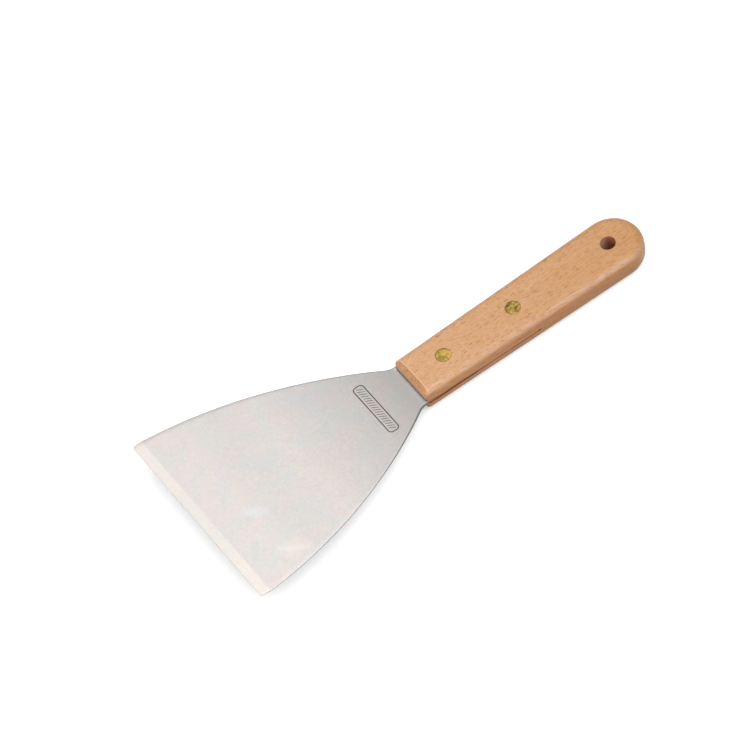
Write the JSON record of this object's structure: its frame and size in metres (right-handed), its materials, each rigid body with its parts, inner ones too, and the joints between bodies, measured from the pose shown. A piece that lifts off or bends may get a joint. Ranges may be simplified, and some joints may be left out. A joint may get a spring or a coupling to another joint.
{
  "type": "filling and taping knife",
  "caption": "Wide flared spring-steel filling knife with a riveted wooden handle, a ground straight edge and a hanging hole.",
  "frame": {"origin": "on the hanging hole's axis, at half the handle's thickness", "axes": "+X along the handle to its round butt, the blade lies towards -X; +Y across the tool; +Z out of the handle's upper broad face"},
  "size_m": [0.235, 0.0992, 0.013],
  "materials": {
    "steel": "fine ground, satin",
    "beech": "sanded beech, satin clear varnish",
    "rivet_brass": "dull, hammered flush"
  },
  "bodies": {
    "root": {"blade": "steel", "handle": "beech", "rivet_front_male": "rivet_brass", "rivet_front_female": "rivet_brass", "rivet_rear_male": "rivet_brass", "rivet_rear_female": "rivet_brass"}
  },
  "joints": []
}
